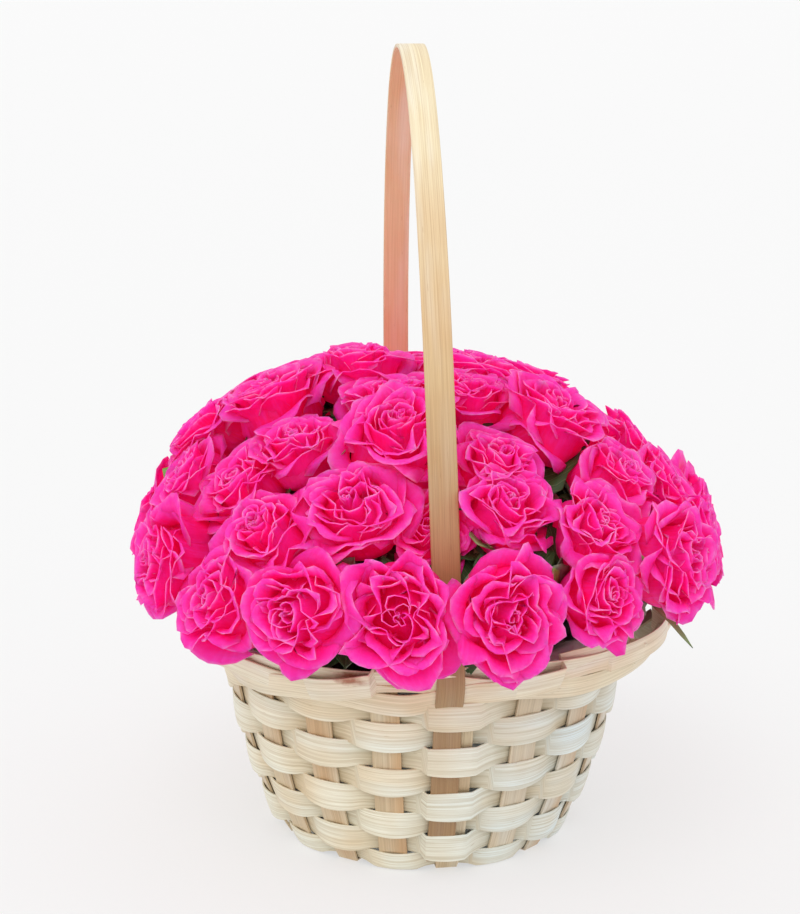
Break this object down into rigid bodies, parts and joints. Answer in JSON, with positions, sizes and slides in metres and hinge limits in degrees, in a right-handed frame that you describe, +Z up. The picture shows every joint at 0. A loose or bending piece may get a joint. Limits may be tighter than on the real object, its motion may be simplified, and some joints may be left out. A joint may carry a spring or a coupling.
{
  "type": "flower basket arrangement",
  "caption": "Round woven chip basket with a bent-wood carrying handle and a lined foam core, filled with a dense dome of open pink spray roses on green stems.",
  "frame": {"origin": "centre of the flat underside, where the basket stands", "axes": "+Z up; the handle's plane is YZ; the front of the basket is -Y"},
  "size_m": [0.2868, 0.2896, 0.385],
  "materials": {
    "weaver_chip": "matt, unvarnished, long open grain",
    "stake_chip": "matt, unvarnished",
    "handle_wood": "smooth, lightly satin, dark long grain",
    "rose_petal": "soft satin petal, paler at the edges",
    "stem_green": "matt leaf and stem",
    "floral_foam": "matt open foam",
    "liner_film": "thin milky film"
  },
  "bodies": {
    "root": {"basket_stakes": "stake_chip", "basket_weaver": "weaver_chip", "foam": "floral_foam", "handle": "handle_wood", "liner": "liner_film", "rim_band_inner": "weaver_chip", "rim_band_outer": "weaver_chip", "rose_high_37": "rose_petal", "rose_high_38": "rose_petal", "rose_high_39": "rose_petal", "rose_high_40": "rose_petal", "rose_high_41": "rose_petal", "rose_high_42": "rose_petal", "rose_high_43": "rose_petal", "rose_high_44": "rose_petal", "rose_high_45": "rose_petal", "rose_high_46": "rose_petal", "rose_low_01": "rose_petal", "rose_low_02": "rose_petal", "rose_low_03": "rose_petal", "rose_low_04": "rose_petal", "rose_low_05": "rose_petal", "rose_low_06": "rose_petal", "rose_low_07": "rose_petal", "rose_low_08": "rose_petal", "rose_low_09": "rose_petal", "rose_low_10": "rose_petal", "rose_low_11": "rose_petal", "rose_low_12": "rose_petal", "rose_low_13": "rose_petal", "rose_low_14": "rose_petal", "rose_low_15": "rose_petal", "rose_low_16": "rose_petal", "rose_low_17": "rose_petal", "rose_low_18": "rose_petal", "rose_middle_19": "rose_petal", "rose_middle_20": "rose_petal", "rose_middle_21": "rose_petal", "rose_middle_22": "rose_petal", "rose_middle_23": "rose_petal", "rose_middle_24": "rose_petal", "rose_middle_25": "rose_petal", "rose_middle_26": "rose_petal", "rose_middle_27": "rose_petal", "rose_middle_28": "rose_petal", "rose_middle_29": "rose_petal", "rose_middle_30": "rose_petal", "rose_middle_31": "rose_petal", "rose_middle_32": "rose_petal", "rose_middle_33": "rose_petal", "rose_middle_34": "rose_petal", "rose_middle_35": "rose_petal", "rose_middle_36": "rose_petal", "rose_top_47": "rose_petal", "rose_top_48": "rose_petal", "rose_top_49": "rose_petal", "rose_top_50": "rose_petal", "rose_top_51": "rose_petal", "stems_and_leaves": "stem_green"}
  },
  "joints": []
}
